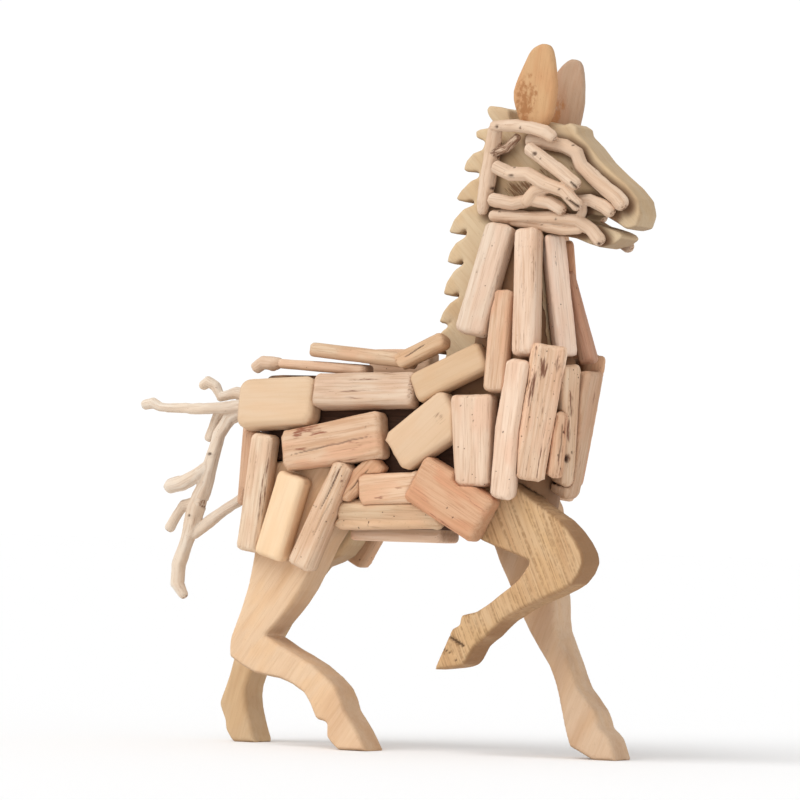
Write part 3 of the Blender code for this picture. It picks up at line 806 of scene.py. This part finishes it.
NECK = (
    Block("right_neck_rear", PALE, (225, 204, 183), stains=(Spot(0.2, 0.85, 48, 4, 0.3),),
        pits=(Spot(0.73, -0.8, 0.9, 0.9), Spot(0.07, -0.48, 0.9, 0.9))),
    Block("right_neck_middle", PINK, (232, 206, 183), WORN, stains=(Spot(0.3, 0.85, 45, 3, 0.3),)),
    Block("right_neck_low", WARM, (218, 186, 157)),
    Block("right_neck_edge", PALE, (253, 231, 212), PLAIN, Facing.FRONT_RIGHT,
        stains=(Spot(0.6, -0.3, 11, 2.4, 0.5), Spot(0.34, 0.3, 10, 1.8, 0.4))),
    Block("right_neck_front", STAINED, (196, 156, 132), WORN, Facing.FRONT),
)
CHEST = (
    Block("right_chest_rear", PALE, (229, 202, 177),
        pits=(Spot(0.75, -0.42, 0.9, 0.9), Spot(0.42, 0.18, 1.1, 0.9), Spot(-0.85, -0.33, 1.0, 0.9))),
    Block("right_chest_middle", PALE, (236, 209, 185),
        cracks=(Crack((-1.0, -0.72), (-0.7, -0.85)),),
        pits=(Spot(-0.05, -0.23, 1.3, 1.0), Spot(-0.73, -0.4, 1.0, 0.9))),
    Block("right_chest_edge", STAINED, (238, 206, 177), SPLIT, Facing.FRONT_RIGHT,
        stains=(Spot(0.66, -0.3, 16, 6, 0.9), Spot(0.3, -0.75, 28, 3.5, 0.8),
                Spot(0.75, 0.5, 11, 4, 0.6), Spot(0.1, 0.0, 24, 2, 0.6))),
    Block("right_chest_small", WARM, (228, 190, 158), SPLIT, Facing.FRONT_RIGHT,
        pits=(Spot(0.4, 0.3, 1.5, 1.0), Spot(-0.3, -0.2, 1.3, 1.0), Spot(-0.7, 0.4, 1.2, 0.9)),
        cracks=(Crack((0.7, 0.1), (-0.5, 0.0), 1.4, 1.6, 0.5),), stains=(Spot(-0.2, 0.0, 16, 3, 0.6),)),
    Block("right_chest_shoulder", STAINED, (226, 197, 168), WORN, Facing.FRONT,
        pits=(Spot(-0.52, -0.35, 5.5, 3.5, 2.2), Spot(-0.42, 0.2, 2.0, 1.6, 1.5)),
        stains=(Spot(0.35, -0.1, 20, 5, 0.8), Spot(-0.05, -0.3, 15, 4, 0.8), Spot(-0.5, -0.3, 8, 7))),
    Block("breast_block", PINK, (205, 173, 145), WORN, Facing.FRONT,
        stains=(Spot(0.57, 0.2, 12, 4, 0.6),)),
)
BARREL = (
    Block("right_shoulder_block", SMOOTH, (210, 178, 144), SANDED),
    Block("right_withers_block", PINK, (216, 184, 150),
        cracks=(Crack((-0.6, 0.1), (0.3, -0.3), 0.9, 0.8),)),
    Block("right_back_block", PINK, (221, 198, 175), WORN,
        stains=(Spot(0.97, 0.0, 3.5, 14, 0.6), Spot(0.1, -0.5, 40, 1.5, 0.6),
                Spot(-0.3, 0.2, 34, 1.3, 0.5))),
    Block("right_rump_block", SMOOTH, (218, 189, 158), SANDED),
    Block("right_flank_block", WARM, (220, 187, 157), WORN,
        cracks=(Crack((-0.81, 0.26), (0.82, 0.04), 1.2, 0.7, 0.6),),
        pits=(Spot(0.75, -0.37, 1.0, 0.8),),
        stains=(Spot(-0.45, -0.75, 20, 5), Spot(-0.62, -0.6, 9, 6),
                Spot(-0.2, -0.45, 12, 2.4), Spot(-0.6, 0.1, 12, 2, 0.8))),
    Block("right_rib_block", SMOOTH, (218, 188, 157), SANDED, stains=(Spot(0.5, 0.1, 8, 10, 0.4),)),
    Block("right_belly_front", WARM, (214, 171, 137), WORN, stains=(Spot(0.1, 0.85, 26, 2, 0.6),),
        pits=(Spot(0.1, 0.3, 0.9, 0.8), Spot(0.35, 0.5, 0.8, 0.8))),
    Block("right_belly_upper", WARM, (230, 197, 166),
        stains=(Spot(0.37, 0.05, 7, 1.4, 0.9), Spot(-0.3, 0.5, 9, 1.2, 0.7))),
    Block("right_belly_lower", PALE, (220, 191, 158), out=(0.0, 5.5)),
    Block("keel_block", PINK, (238, 208, 182), PLAIN, Facing.UNDER, out=(3.5, 0.0)),
    Block("right_flank_small", WARM, (216, 176, 142),
        cracks=(Crack((-0.7, 0.1), (0.5, 0.0), 0.8, 0.8),)),
)
HIP = (
    Block("right_hip_front", STAINED, (227, 199, 171), WORN,
        cracks=(Crack((0.98, 0.1), (0.1, -0.05), 1.1, 1.5, 0.8),
                Crack((0.4, 0.5), (-0.4, 0.3), 1.0, 0.6, 0.4)),
        pits=(Spot(0.1, -0.5, 1.1, 0.9), Spot(-0.3, 0.1, 1.0, 0.9)), stains=(Spot(0.7, 0.0, 18, 6, 0.45),)),
    Block("right_hip_middle", SMOOTH, (239, 209, 173), SANDED),
    Block("right_hip_rear", PINK, (230, 206, 179), WORN, stains=(Spot(0.0, 0.85, 50, 3, 0.6),)),
    Block("right_rump_edge_slat", PINK, (206, 168, 138), WORN),
    Block("right_rump_slat", PINK, (214, 180, 152), WORN, Facing.REAR),
)
TOP = (
    Block("back_ridge_block", PALE, (226, 196, 168), PLAIN, Facing.TOP),
    Block("back_saddle_block", WARM, (218, 191, 161), PLAIN, Facing.TOP),
    Block("back_left_block", PALE, (226, 196, 168), PLAIN, Facing.TOP),
)
LEFT_SIDE = (
    Block("left_neck_rear", PALE, (230, 200, 172)),
    Block("left_neck_middle", PINK, (226, 190, 160), WORN),
    Block("left_neck_edge", WARM, (218, 178, 146), WORN, Facing.FRONT_LEFT),
    Block("left_chest_rear", PINK, (230, 196, 168)),
    Block("left_chest_middle", PALE, (236, 204, 176), cracks=(Crack((0.9, 0.2), (0.2, 0.1), 0.9, 1.0),)),
    Block("left_chest_edge", PALE, (224, 186, 152), WORN, Facing.FRONT_LEFT),
    Block("left_chest_shoulder", WARM, (206, 166, 136), WORN, Facing.FRONT),
    Block("left_back_front", PALE, (232, 198, 166), WORN),
    Block("left_back_rear", SMOOTH, (228, 196, 162), SANDED),
    Block("left_flank_rear", PALE, (226, 190, 158), cracks=(Crack((-0.8, -0.2), (0.3, 0.0), 0.9, 1.0),)),
    Block("left_flank_front", PINK, (228, 194, 164)),
    Block("left_belly_block", WARM, (216, 174, 140)),
    Block("left_hip_front", PALE, (222, 188, 156), WORN),
    Block("left_hip_rear", PINK, (230, 196, 164)),
)


def flat(out: int, *places: tuple[int, int]) -> tuple[Place, ...]:
    """A line at one distance from the middle plane, from places forward and up."""
    return tuple((forward, out, up) for forward, up in places)


@dataclass(frozen=True)
class Twig:
    """One peeled twig: its middle line in mm, and how brown it is."""

    line: tuple[Place, ...]
    brown: float = 0.0

    def beside(self, places: Points, normals: Points) -> Points:
        """Where points lie beside the twig's middle line.

        Args:
            places: the points.
            normals: the surface's directions there.

        Returns:
            Rows of the length along the line, the offsets across it and outward, how squarely the
            surface faces along it, and the distance from it.
        """
        stops = np.array(self.line, float) * MM
        found = np.full((len(places), 5), np.inf)
        start = 0.0
        for first, last in zip(stops, stops[1:]):
            length = np.linalg.norm(last - first)
            run = (last - first) / length
            offset = places - first
            held = np.clip(offset @ run, 0, length)
            away = offset - held[:, None] * run
            across = away @ np.cross(run, (0, 1, 0))
            squarely = np.abs(normals @ run)
            row = np.stack((start + held, across, away[:, 1], squarely, np.linalg.norm(away, axis=1)), axis=1)
            found = np.where((row[:, 4] < found[:, 4])[:, None], row, found)
            start += length
        return found


@dataclass(frozen=True)
class Bundle:
    """Twigs that are glued across one another, with their knots and cracks seen from the side, in mm.

    A backed bundle lies on the head board.
    """

    node: str
    twigs: tuple[Twig, ...]
    knots: tuple[Spot, ...] = ()
    cracks: tuple[Crack, ...] = ()
    backed: bool = True


BUNDLES = (
    Bundle("right_poll_twigs", (
        Twig(((118, -40, 571), (138, -40, 571), (156, -38, 569), (170, -38, 565),
            (178, -38, 560))),
        Twig(((118, -36, 569), (112, -28, 548), (108, -28, 524), (106, -28, 503),
            (104, -28, 493))),
        Twig(((114, -28, 548), (128, -30, 551), (140, -34, 562)), 0.8),
    ), (Spot(124, 570, 2.6, 1.8), Spot(148, 569, 1.2, 1.0), Spot(173, 556, 1.2, 1.0),
        Spot(119, 544, 1.3, 1.2), Spot(114, 515, 3.2, 2.6), Spot(110, 489, 1.2, 1.2))),
    Bundle("right_cheek_twig", (
        Twig(flat(-26, (148, 558), (164, 557), (184, 553), (196, 547), (202, 535), (212, 525),
            (228, 514), (238, 507), (244, 500))),
    ), (Spot(194, 553, 1.3, 1.1), Spot(223, 529, 1.0, 0.9))),
    Bundle("right_cheek_fork", (
        Twig(flat(-38, (154, 551), (166, 543), (184, 530), (202, 517))),
        Twig(flat(-38, (122, 534), (136, 528), (154, 528), (170, 519), (190, 512), (204, 498))),
        Twig(flat(-32, (114, 505), (138, 501), (156, 505), (174, 502), (186, 495))),
        Twig(flat(-35, (152, 502), (160, 512), (174, 516))),
    ), (Spot(163, 545, 3.4, 2.4), Spot(169, 541, 1.2, 1.0), Spot(141, 533, 1.6, 1.2),
        Spot(140, 526, 4.5, 1.0), Spot(188, 513, 1.5, 1.3), Spot(196, 505, 1.2, 1.1)),
        (Crack((197, 504), (213, 493), 2.0, 2.2), Crack((199, 520), (205, 514), 1.6, 1.8))),
    Bundle("right_jaw_twigs", (
        Twig(flat(-26, (114, 490), (138, 489), (174, 488), (200, 486), (214, 477), (222, 468))),
        Twig(flat(-26, (196, 503), (210, 505), (224, 499), (232, 494))),
        Twig(flat(-25, (200, 486), (204, 495), (202, 502))),
        Twig(flat(-25, (134, 485), (162, 481), (186, 477), (202, 478))),
    ), (Spot(123, 493, 1.3, 1.1), Spot(170, 494, 1.2, 1.0), Spot(180, 487, 1.3, 1.2),
        Spot(165, 482, 1.2, 1.0), Spot(222, 466, 1.8, 1.4))),
    Bundle("left_poll_twigs", (
        Twig(flat(37, (116, 568), (142, 571), (162, 567), (178, 557))),
        Twig(flat(28, (116, 569), (110, 540), (106, 512), (104, 494))),
        Twig(flat(26, (112, 550), (152, 549), (186, 547), (202, 534), (224, 516), (240, 502))),
    ), (Spot(140, 570, 1.6, 1.3), Spot(108, 522, 2.6, 2.0))),
    Bundle("left_cheek_twigs", (
        Twig(flat(26, (116, 492), (152, 491), (188, 488), (212, 475), (226, 465))),
        Twig(flat(35, (124, 532), (154, 529), (182, 516), (204, 500))),
        Twig(flat(32, (122, 500), (152, 506), (180, 500), (198, 492)), 0.3),
        Twig(flat(26, (118, 512), (162, 517), (196, 510)), 0.3),
    ), (Spot(170, 522, 2.0, 1.6),)),
    Bundle("rump_twig", (
        Twig(((-128, -22, 349), (-118, -26, 354), (-106, -28, 353), (-100, -29, 354))),
    ), backed=False),
    Bundle("tail", (
        Twig(((-124, 0, 318), (-148, 0, 314), (-166, 0, 303), (-176, -2, 286), (-184, -2, 262),
            (-190, 0, 240), (-200, 0, 218), (-204, 0, 197), (-210, 0, 180), (-216, 0, 163), (-218, 0, 146),
            (-210, 0, 135))),
        Twig(((-148, -3, 314), (-170, -7, 311), (-198, -8, 310), (-220, -8, 310),
            (-236, -7, 311), (-246, -7, 315), (-256, -7, 313))),
        Twig(((-146, 4, 322), (-164, 6, 326), (-180, 7, 322), (-186, 7, 332), (-194, 7, 336),
            (-200, 7, 332))),
        Twig(((-174, -1, 312), (-182, 5, 304), (-186, 5, 292), (-190, 4, 282))),
        Twig(((-188, -2, 256), (-198, -5, 248), (-212, -6, 240), (-226, -6, 236))),
        Twig(((-196, 0, 224), (-216, 5, 220), (-224, 6, 210), (-232, 6, 197))),
        Twig(((-134, 8, 240), (-156, 8, 226), (-172, 6, 216), (-188, 3, 204), (-202, 0, 192))),
        Twig(((-126, 6, 262), (-134, 8, 250), (-146, 8, 236))),
    ), (Spot(-182, 268, 2.2, 1.6), Spot(-202, 210, 1.8, 1.4)), backed=False),
)


@dataclass(frozen=True)
class Board:
    """One sawn board: its grain's angle from level in degrees, how strongly shade is painted on its front
    edge, and its marks.

    Its twigs are those that lie on it, and shade is painted round them.
    """

    node: str
    grain: float
    tone: Seen
    wood: Wood = BOARD
    edge: float = 0.0
    cracks: tuple[Crack, ...] = ()
    pits: tuple[Spot, ...] = ()
    stains: tuple[Spot, ...] = ()
    twigs: tuple[Twig, ...] = ()


BOARDS = (
    Board("head_and_mane_board", -46, (213, 189, 155), HEAD, 0.22,
          # The two wide stains under the cheek twigs are partly darker wood and partly painted shade behind
          # the twigs.
          stains=(Spot(226, 486, 16, 7, 0.9), Spot(140, 515, 24, 12, 0.9), Spot(170, 530, 26, 10, 0.6)),
          twigs=tuple(twig for bundle in BUNDLES if bundle.backed for twig in bundle.twigs)),
    Board("right_front_leg", 114, (210, 176, 136), SAWN, 0.9,
          (Crack((91, 109), (110, 99), 2.0, 2.6), Crack((86, 98), (96, 92), 1.0, 1.0)),
          (Spot(101, 87, 1.4, 1.0),), (Spot(88, 95, 10, 6, 0.7), Spot(112, 130, 16, 9, 0.5))),
    Board("left_front_leg", 68, (214, 184, 154)),
    Board("right_hind_leg", 55, (226, 194, 160), edge=0.2),
    Board("left_hind_leg", 75, (208, 180, 144)),
)


@dataclass
class Boards:
    """The head board and the four leg boards. Lengths in mm, but for the spacing and the half width."""

    workshop: Workshop
    boards: tuple[Board, ...] = BOARDS
    seed: int = 200
    spacing: float = 1.65 * MM
    passes: int = 3
    wave: Triple = (0.35, 30, 14)
    chips: float = 0.7
    half_width: float = 20 * MM
    twig_shade: Span = (15, 8)

    def build(self) -> None:
        """Wears and dresses each board."""
        for seed, board in enumerate(self.boards, self.seed):
            self.carve(board, seed)
        LOG.info("boards: %d", len(self.boards))

    def carve(self, board: Board, seed: int) -> None:
        """Wears one board, paints shade on its front edge, its underside and the wood round its twigs, and
        dresses it.

        Args:
            board: the board.
            seed: picks its noise.
        """
        piece = self.workshop.fine_copy(board.node, self.spacing, self.passes)
        angle = math.radians(board.grain)
        along = np.array((math.cos(angle), 0, math.sin(angle)))
        outward = np.array(Facing.RIGHT.value, float)
        axes = np.array((along, np.cross(along, outward), outward))
        carving = Carving(piece, seed, axes=axes)
        carving.wave(*self.wave)
        carving.chip(self.chips)
        carving.marked(board.cracks, board.pits, board.stains)
        # Painted shade: on faces turned forward, on undersides, and round the twigs that lie on the board.
        forward = smoothstep(0.3, 0.75, carving.normals[:, 0])
        under = smoothstep(-0.3, -0.8, carving.normals[:, 2])
        carving.side = np.maximum(forward * board.edge, under * 0.5)
        flat = np.abs(carving.places[:, 1]) < self.half_width
        for twig in board.twigs:
            away = twig.beside(carving.places, carving.normals)[:, 4] / MM
            carving.side = np.maximum(carving.side, smoothstep(*self.twig_shade, away) * flat)
        carving.finish()
        self.workshop.hand_over(piece, board.node, board.wood, tone(*board.tone), seed)


@dataclass
class Ears:
    """The two ears. Waves and chips in mm."""

    workshop: Workshop
    tones: tuple[tuple[str, Colour], ...] = (
        ("right_ear", tone(208, 166, 122)), ("left_ear", tone(190, 160, 134)),
    )
    seed: int = 220
    spacing: float = 1.1 * MM
    passes: int = 4
    wave: Triple = (0.6, 18, 9)
    chips: float = 0.7
    mottle: Spot = Spot(-0.3, -0.3, 30, 15, 0.85)

    def build(self) -> None:
        """Wears and dresses both ears."""
        for seed, (node, ear_tone) in enumerate(self.tones, self.seed):
            piece = self.workshop.fine_copy(node, self.spacing, self.passes)
            carving = Carving(piece, seed)
            carving.wave(*self.wave)
            carving.chip(self.chips)
            carving.mark(self.mottle)
            carving.finish()
            self.workshop.hand_over(piece, node, EAR, ear_tone, seed)


@dataclass
class Twigs:
    """The peeled twigs of the face, the rump and the tail.

    Lumps are swellings: their length, width and height in mm. Glued is the span, out from the horse's
    middle plane, over which painted shade grows on the backs of the face twigs against the head board, in
    metres.
    """

    workshop: Workshop
    bundles: tuple[Bundle, ...] = BUNDLES
    near_tone: Colour = tone(224, 199, 175)
    tail_tone: Colour = tone(228, 214, 197)
    spacing: float = 1.1 * MM
    passes: int = 5
    swell: float = 0.8 * MM
    seed: int = 240
    lumps: tuple[Triple, ...] = ((19, 8, 1.1), (6, 3, 0.35))
    glued: Span = (0.027, 0.0205)

    def build(self) -> None:
        """Wears and dresses each bundle."""
        for seed, bundle in enumerate(self.bundles, self.seed):
            self.carve(bundle, seed)
        LOG.info("twigs: %d bundles", len(self.bundles))

    def carve(self, bundle: Bundle, seed: int) -> None:
        """Gives each twig of a bundle its swellings, ends and knots, and dresses the bundle.

        Args:
            bundle: the bundle.
            seed: picks its noise.
        """
        piece = self.workshop.fine_copy(bundle.node, self.spacing, self.passes)
        left = bundle.node.startswith("left")
        outward = np.array((0, 1 if left else -1, 0), float)
        axes = np.array(((1, 0, 0), np.cross((1, 0, 0), outward), outward), float)
        carving = Carving(piece, seed, axes=axes)
        nearest = np.full(len(carving.places), np.inf)
        grain = np.zeros_like(carving.places)
        for place, twig in enumerate(bundle.twigs):
            found = twig.beside(carving.places, carving.normals)
            closer = found[:, 4] < nearest
            nearest = np.where(closer, found[:, 4], nearest)
            grain = np.where(closer[:, None], found[:, :3] + place * 0.1, grain)
            end = smoothstep(0.6, 0.85, found[:, 3]) * closer
            carving.stain = np.where(closer, np.maximum(twig.brown, end * 0.6), carving.stain)
        if bundle.backed:
            # Painted shade on the backs of the face twigs, where they lie against the head board.
            carving.side = smoothstep(*self.glued, np.abs(carving.places[:, 1])) * 0.75
        carving.push += self.swell
        for place, (long, wide, high) in enumerate(self.lumps):
            carving.push += noise(grain / (np.array((long, wide, wide)) * MM), seed + place) * high * MM
        carving.marked(bundle.cracks, (), ())
        for knot in bundle.knots:
            carving.knot(knot)
        carving.finish(grain)
        twig_tone = self.tail_tone if bundle.node == "tail" else self.near_tone
        self.workshop.hand_over(piece, bundle.node, TWIG, twig_tone, seed)


@dataclass
class Carcass:
    """The dark body behind the blocks, paler at its neck, breast and rump. Spans in metres."""

    workshop: Workshop
    node: str = "inner_body"
    tone: Colour = shade(74, 50, 36)
    seed: int = 260
    spacing: float = 3.4 * MM
    passes: int = 2
    shrink: float = 0.6 * MM
    neck_up: Span = (0.28, 0.34)
    neck_forward: Span = (0.06, 0.1)
    breast_up: Span = (0.30, 0.28)
    breast_forward: Span = (0.13, 0.15)
    rump_forward: Span = (0.02, -0.02)
    level: Span = (0.5, 0.8)

    def build(self) -> None:
        """Roughens and dresses the carcass."""
        piece = self.workshop.fine_copy(self.node, self.spacing, self.passes)
        carving = Carving(piece, self.seed, axes=np.eye(3))
        carving.push -= self.shrink
        forward, up = carving.places[:, 0], carving.places[:, 2]
        neck = smoothstep(*self.neck_up, up) * smoothstep(*self.neck_forward, forward)
        breast = smoothstep(*self.breast_up, up) * smoothstep(*self.breast_forward, forward)
        rump = smoothstep(*self.level, carving.normals[:, 2]) * smoothstep(*self.rump_forward, forward)
        carving.side = np.max((neck, breast, rump), axis=0)
        carving.finish()
        self.workshop.hand_over(piece, self.node, CORE, self.tone, self.seed)


# Studio


@dataclass
class Studio:
    """The floor, the lights and the photograph's camera. Lengths in metres, angles in degrees."""

    distance: float = 5.0
    azimuth: float = 27.0
    roll: float = 1.7
    camera_height: float = 0.215
    target_height: float = 0.322
    shift: float = 0.011537
    pixel: float = 0.00092
    picture: int = 800
    sensor: float = 36.0
    floor_side: float = 60.0
    floor_tone: float = 0.955
    floor_roughness: float = 0.9
    floor_specular: float = 0.1
    sky_span: Span = (0.14, 0.45)
    sky_light: Span = (1.02, 0.62)
    key_light: float = 1.7
    key_width: float = 50.0
    key_from: Triple = (-0.25, -0.62, 0.74)

    def build(self) -> None:
        """Makes the floor, the lights and the camera."""
        self.floor()
        self.sky()
        self.sun()
        self.camera()

    def floor(self) -> None:
        """A wide plain floor."""
        bpy.ops.mesh.primitive_plane_add(size=self.floor_side, location=(0, 0, 0))
        floor = bpy.context.active_object
        floor.name = "floor"
        tree = Tree("studio_floor")
        tree.set("Base Color", (*(self.floor_tone,) * 3, 1))
        tree.set("Roughness", self.floor_roughness)
        tree.set("Specular IOR Level", self.floor_specular)
        floor.data.materials.append(tree.material)
        floor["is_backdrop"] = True

    def sky(self) -> None:
        """A white light from all round, brightest low down."""
        world = bpy.data.worlds.new("studio_sky")
        world.use_nodes = True
        nodes, links = world.node_tree.nodes, world.node_tree.links
        place = nodes.new("ShaderNodeTexCoord")
        split = nodes.new("ShaderNodeSeparateXYZ")
        fade = nodes.new("ShaderNodeMapRange")
        fade.interpolation_type = "SMOOTHSTEP"
        for name, value in zip(("From Min", "From Max", "To Min", "To Max"), self.sky_span + self.sky_light):
            fade.inputs[name].default_value = value
        nodes["Background"].inputs["Color"].default_value = (1, 1, 1, 1)
        links.new(place.outputs["Generated"], split.inputs[0])
        links.new(split.outputs[2], fade.inputs["Value"])
        links.new(fade.outputs["Result"], nodes["Background"].inputs["Strength"])
        bpy.context.scene.world = world
        bpy.context.scene.view_settings.view_transform = "Standard"

    def sun(self) -> None:
        """A wide soft light from above on the left."""
        light = bpy.data.lights.new("key", "SUN")
        light.angle = math.radians(self.key_width)
        light.energy = self.key_light
        lamp = bpy.data.objects.new("key", light)
        bpy.context.scene.collection.objects.link(lamp)
        lamp.matrix_world = Vector(self.key_from).to_track_quat("Z", "Y").to_matrix().to_4x4()

    def camera(self) -> None:
        """The camera that sees the horse as the photograph does."""
        turn = math.radians(self.azimuth)
        place = Vector((math.sin(turn) * self.distance, -math.cos(turn) * self.distance, self.camera_height))
        ahead = (Vector((0, 0, self.target_height)) - place).normalized()
        level = ahead.cross(Vector((0, 0, 1))).normalized()
        upright = level.cross(ahead)
        roll = math.radians(self.roll)
        across = math.cos(roll) * level + math.sin(roll) * upright
        up = math.cos(roll) * upright - math.sin(roll) * level
        data = bpy.data.cameras.new("photo_camera")
        data.sensor_width = self.sensor
        data.lens = self.distance / self.pixel / self.picture * self.sensor
        data.clip_end = 100
        camera = bpy.data.objects.new("photo_camera", data)
        bpy.context.scene.collection.objects.link(camera)
        turned = Matrix((across, up, -ahead)).transposed().to_4x4()
        camera.matrix_world = Matrix.Translation(place + Vector((self.shift, 0, 0))) @ turned
        bpy.context.scene.camera = camera


AREA_SEEDS = 20
LEFT_SEED = 160
LEFT_SPACING = 2.0 * MM


def plain_box(box: tuple[Triple, Triple]) -> list[list[float]]:
    """A box's two corners as plain lists."""
    return [[float(part) for part in corner] for corner in box]


def main(frame: dict, cad_box: list[list[float]]) -> None:
    """Builds the studio and every piece, in order.

    Args:
        cad_box: the box round the frame's solids; not used.
    """
    bpy.ops.object.select_all(action="DESELECT")
    workshop = Workshop(frame["nodes"])
    Studio().build()
    Carcass(workshop).build()
    Boards(workshop).build()
    Ears(workshop).build()
    Twigs(workshop).build()
    areas = (("neck", NECK), ("chest", CHEST), ("barrel", BARREL), ("hip", HIP), ("top", TOP))
    for place, (name, blocks) in enumerate(areas, 1):
        Cladding(workshop, name, blocks, place * AREA_SEEDS).build()
    Cladding(workshop, "left side", LEFT_SIDE, LEFT_SEED, LEFT_SPACING, Facing.LEFT).build()
    bpy.ops.object.select_all(action="DESELECT")


if __name__ == "__main__":
    logging.basicConfig(level=logging.INFO, format="%(message)s")
    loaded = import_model()
    main(loaded, plain_box(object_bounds()))
